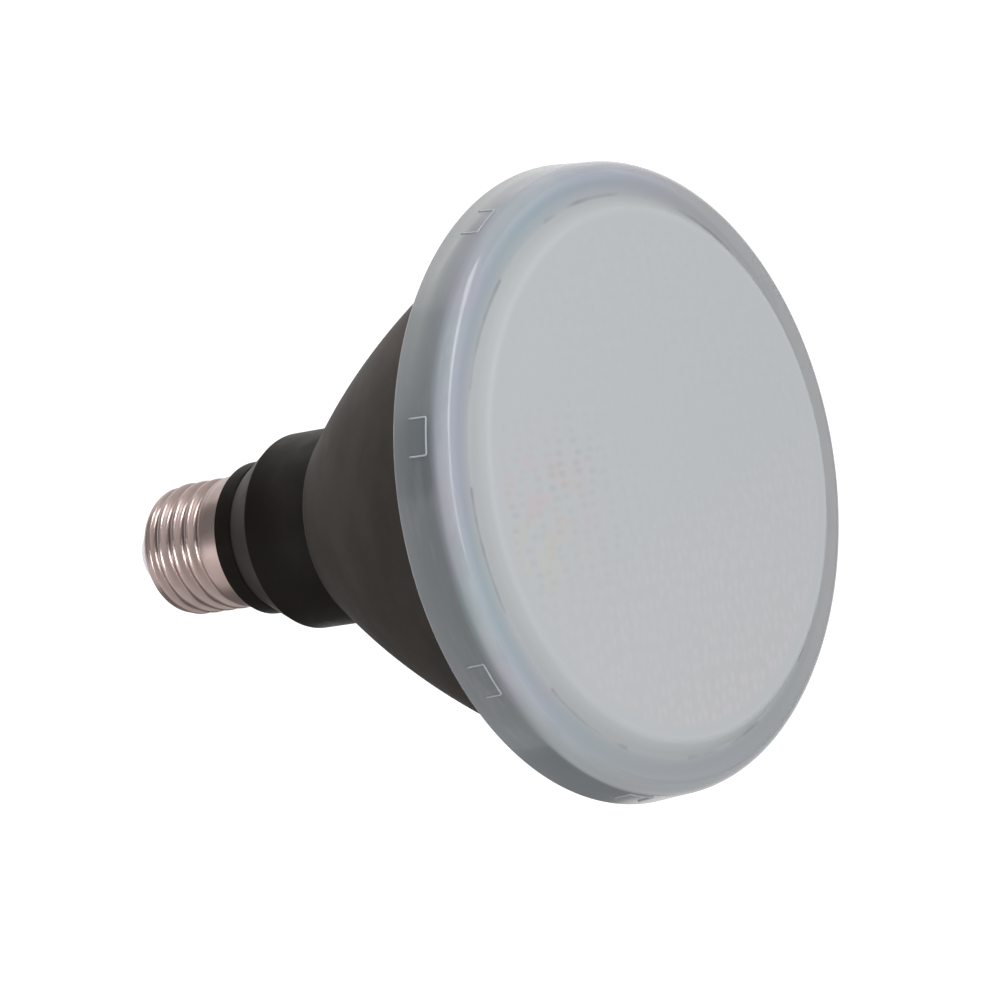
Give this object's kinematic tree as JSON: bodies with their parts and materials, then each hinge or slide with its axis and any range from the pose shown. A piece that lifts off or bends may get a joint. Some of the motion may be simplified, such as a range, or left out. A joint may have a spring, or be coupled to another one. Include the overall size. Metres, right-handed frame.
{
  "type": "reflector spotlight bulb",
  "caption": "Wide reflector spotlight bulb: a dark bell-shaped metal housing with a stepped frosted clear front, on a narrow black neck with a long screw cap.",
  "frame": {"origin": "tip of the centre contact, on the bulb's axis", "axes": "+Z along the bulb's axis, out of the lens cover; the holder takes the cap in the -Z direction"},
  "size_m": [0.121, 0.121, 0.131],
  "materials": {
    "nickel": "satin nickel plating with a warm tint",
    "contact": "tinned, dull",
    "insulator": "smooth, off-white",
    "neck": "fine matt moulding, near black",
    "bell": "smooth satin paint, dark warm grey",
    "lens": "clear, frosted by fine lenses inside",
    "gasket": "soft grey silicone",
    "reflector": "bright white",
    "plate": "plain rolled sheet",
    "pad": "soft grey pad",
    "light_board": "white solder mask on a metal core",
    "led": "yellow phosphor in white frames",
    "screw": "zinc plated",
    "driver_board": "green solder mask",
    "ferrite": "dark grey, sintered",
    "winding": "yellow tape over enamelled wire",
    "can": "dark sleeve on a metal can",
    "component": "black moulded package",
    "film": "red dipped case",
    "resistor": "pale coated body",
    "wire_black": "black insulation",
    "wire_red": "red insulation",
    "wire_white": "white insulation",
    "connector": "natural nylon"
  },
  "bodies": {
    "root": {"centre_contact": "contact", "cap_insulator": "insulator", "screw_shell": "nickel", "neck_housing": "neck", "neck_screws": "screw", "bell_housing": "bell", "driver_board": "driver_board", "driver_cover": "neck", "transformer_core": "ferrite", "transformer_winding": "winding", "input_capacitor": "can", "output_capacitor": "can", "filter_inductor": "ferrite", "film_capacitor": "film", "bridge_rectifier": "component", "control_chip": "component", "fuse_resistor": "resistor", "live_lead": "wire_black", "neutral_lead": "wire_white", "positive_lead": "wire_red", "negative_lead": "wire_black", "heat_plate": "plate", "plate_screws": "screw", "thermal_pad": "pad", "led_board": "light_board", "leds": "led", "board_connector": "connector", "board_screws": "screw", "reflector": "reflector", "lens_gasket": "gasket", "lens_cover": "lens"}
  },
  "joints": []
}
